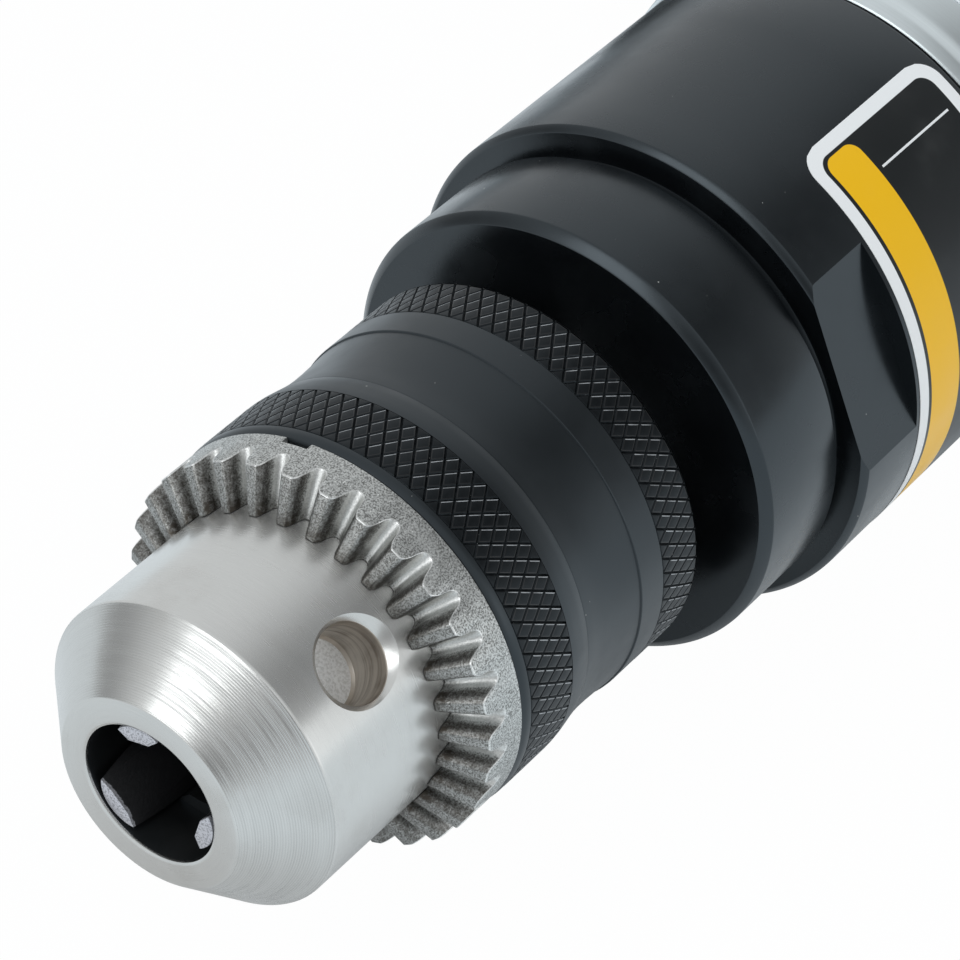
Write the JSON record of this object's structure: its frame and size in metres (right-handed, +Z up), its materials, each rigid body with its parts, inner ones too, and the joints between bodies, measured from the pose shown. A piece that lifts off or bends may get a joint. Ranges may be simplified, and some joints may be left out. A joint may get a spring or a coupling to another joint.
{
  "type": "air drill",
  "caption": "Pistol-grip air drill with a keyed three-jaw chuck, planetary reduction, vane motor, sprung trigger throttle and threaded air inlet in the handle.",
  "frame": {"origin": "centre of the chuck mouth on the spindle axis, in the plane of the nose face", "axes": "+X forwards along the spindle out of the chuck, -Y down the handle, +Z up out of the tool's right side as it lies on a bench"},
  "size_m": [0.1934, 0.1715, 0.0492],
  "materials": {
    "chuck_steel": "turned, bare",
    "jaw_steel": "ground, bare",
    "sintered_steel": "sintered, grainy",
    "black_oxide": "black oxide, knurled",
    "case_black": "black, semi-gloss",
    "bearing_steel": "ground",
    "gear_steel": "hardened",
    "bronze": "plain",
    "motor_iron": "honed",
    "vane_fibre": "laminate",
    "housing_alloy": "satin",
    "trigger_plastic": "satin",
    "rubber": "matt",
    "plated_steel": "zinc plated",
    "felt": "felt",
    "deflector_plastic": "satin"
  },
  "bodies": {
    "tool": {"housing": "housing_alloy", "gear_case": "case_black", "snap_ring": "plated_steel", "spindle_seal": "rubber", "spindle_front_bearing_outer": "bearing_steel", "spindle_rear_bearing_outer": "bearing_steel", "ring_gear": "gear_steel", "front_end_plate": "motor_iron", "rear_end_plate": "motor_iron", "motor_cylinder": "motor_iron", "cylinder_dowel": "bearing_steel", "rotor_front_bearing_outer": "bearing_steel", "rotor_rear_bearing_outer": "bearing_steel", "rod_bush": "bronze", "valve_seat": "bronze", "valve_spring": "plated_steel", "valve_cap": "plated_steel", "valve_cap_ring": "rubber", "inlet_bushing": "plated_steel", "inlet_ring": "rubber", "inlet_screen": "bronze", "exhaust_deflector": "deflector_plastic", "muffler_pad": "felt", "deflector_screws": "plated_steel"},
    "spindle": {"spindle": "gear_steel", "chuck_body": "chuck_steel", "chuck_spacer": "plated_steel", "planet_pins": "bearing_steel", "planet_retainer": "plated_steel", "spindle_front_bearing_inner": "bearing_steel", "spindle_rear_bearing_inner": "bearing_steel"},
    "chuck_sleeve": {"chuck_sleeve": "black_oxide", "chuck_gear_ring": "sintered_steel", "chuck_nut": "gear_steel"},
    "jaw_1": {"chuck_jaw_1": "jaw_steel"},
    "jaw_2": {"chuck_jaw_2": "jaw_steel"},
    "jaw_3": {"chuck_jaw_3": "jaw_steel"},
    "planet_1": {"planet_gear_1": "gear_steel", "planet_bush_1": "bronze"},
    "planet_2": {"planet_gear_2": "gear_steel", "planet_bush_2": "bronze"},
    "planet_3": {"planet_gear_3": "gear_steel", "planet_bush_3": "bronze"},
    "rotor": {"rotor": "gear_steel", "rotor_vanes": "vane_fibre", "rotor_front_bearing_inner": "bearing_steel", "rotor_rear_bearing_inner": "bearing_steel"},
    "spindle_front_cage": {"spindle_front_bearing_balls": "bearing_steel"},
    "spindle_rear_cage": {"spindle_rear_bearing_balls": "bearing_steel"},
    "rotor_front_cage": {"rotor_front_bearing_balls": "bearing_steel"},
    "rotor_rear_cage": {"rotor_rear_bearing_balls": "bearing_steel"},
    "trigger": {"trigger": "trigger_plastic", "trigger_rod": "plated_steel", "trigger_pin": "plated_steel"},
    "valve": {"throttle_valve": "trigger_plastic"}
  },
  "joints": [
    {"name": "spindle_spin", "type": "hinge", "parent": "tool", "child": "spindle", "pos_m": [0, 0, 0], "axis": [1, 0, 0], "continuous": true},
    {"name": "sleeve_turn", "type": "hinge", "parent": "spindle", "child": "chuck_sleeve", "pos_m": [0, 0, 0], "axis": [-1, 0, 0], "range_deg": [0, 3482.8]},
    {"name": "rotor_spin", "type": "hinge", "parent": "tool", "child": "rotor", "pos_m": [0, 0, 0], "axis": [1, 0, 0], "continuous": true},
    {"name": "jaw_1_slide", "type": "slide", "parent": "spindle", "child": "jaw_1", "axis": [0.9613, -0.2636, 0.0806], "range_m": [0, 0.01451]},
    {"name": "jaw_2_slide", "type": "slide", "parent": "spindle", "child": "jaw_2", "axis": [0.9613, 0.2016, 0.188], "range_m": [0, 0.01451]},
    {"name": "jaw_3_slide", "type": "slide", "parent": "spindle", "child": "jaw_3", "axis": [0.9613, 0.062, -0.2686], "range_m": [0, 0.01451]},
    {"name": "planet_1_spin", "type": "hinge", "parent": "spindle", "child": "planet_1", "pos_m": [-0.0844, 0, 0.01073], "axis": [1, 0, 0], "continuous": true},
    {"name": "planet_2_spin", "type": "hinge", "parent": "spindle", "child": "planet_2", "pos_m": [-0.0844, 0.00929, -0.00536], "axis": [1, 0, 0], "continuous": true},
    {"name": "planet_3_spin", "type": "hinge", "parent": "spindle", "child": "planet_3", "pos_m": [-0.0844, -0.00929, -0.00536], "axis": [1, 0, 0], "continuous": true},
    {"name": "spindle_front_cage_spin", "type": "hinge", "parent": "tool", "child": "spindle_front_cage", "pos_m": [0, 0, 0], "axis": [1, 0, 0], "continuous": true},
    {"name": "spindle_rear_cage_spin", "type": "hinge", "parent": "tool", "child": "spindle_rear_cage", "pos_m": [0, 0, 0], "axis": [1, 0, 0], "continuous": true},
    {"name": "rotor_front_cage_spin", "type": "hinge", "parent": "tool", "child": "rotor_front_cage", "pos_m": [0, 0, 0], "axis": [1, 0, 0], "continuous": true},
    {"name": "rotor_rear_cage_spin", "type": "hinge", "parent": "tool", "child": "rotor_rear_cage", "pos_m": [0, 0, 0], "axis": [1, 0, 0], "continuous": true},
    {"name": "trigger_slide", "type": "slide", "parent": "tool", "child": "trigger", "axis": [-1, 0, 0], "range_m": [0, 0.005], "stiffness_N_per_m": 900},
    {"name": "valve_slide", "type": "slide", "parent": "tool", "child": "valve", "axis": [-1, 0, 0], "range_m": [0, 0.005], "deforming": ["valve_spring"]}
  ],
  "couplings": [
    {"joint": "rotor_spin", "follows": "spindle_spin", "ratio": 5.5},
    {"joint": "jaw_1_slide", "follows": "sleeve_turn", "m_per_rad": 0.00023873},
    {"joint": "jaw_2_slide", "follows": "sleeve_turn", "m_per_rad": 0.00023873},
    {"joint": "jaw_3_slide", "follows": "sleeve_turn", "m_per_rad": 0.00023873},
    {"joint": "planet_1_spin", "follows": "spindle_spin", "ratio": -2.5714},
    {"joint": "planet_2_spin", "follows": "spindle_spin", "ratio": -2.5714},
    {"joint": "planet_3_spin", "follows": "spindle_spin", "ratio": -2.5714},
    {"joint": "spindle_front_cage_spin", "follows": "spindle_spin", "ratio": 0.392},
    {"joint": "spindle_rear_cage_spin", "follows": "spindle_spin", "ratio": 0.40234},
    {"joint": "rotor_front_cage_spin", "follows": "spindle_spin", "ratio": 2.1931},
    {"joint": "rotor_rear_cage_spin", "follows": "spindle_spin", "ratio": 2.145},
    {"joint": "valve_slide", "follows": "trigger_slide", "ratio": 1}
  ]
}
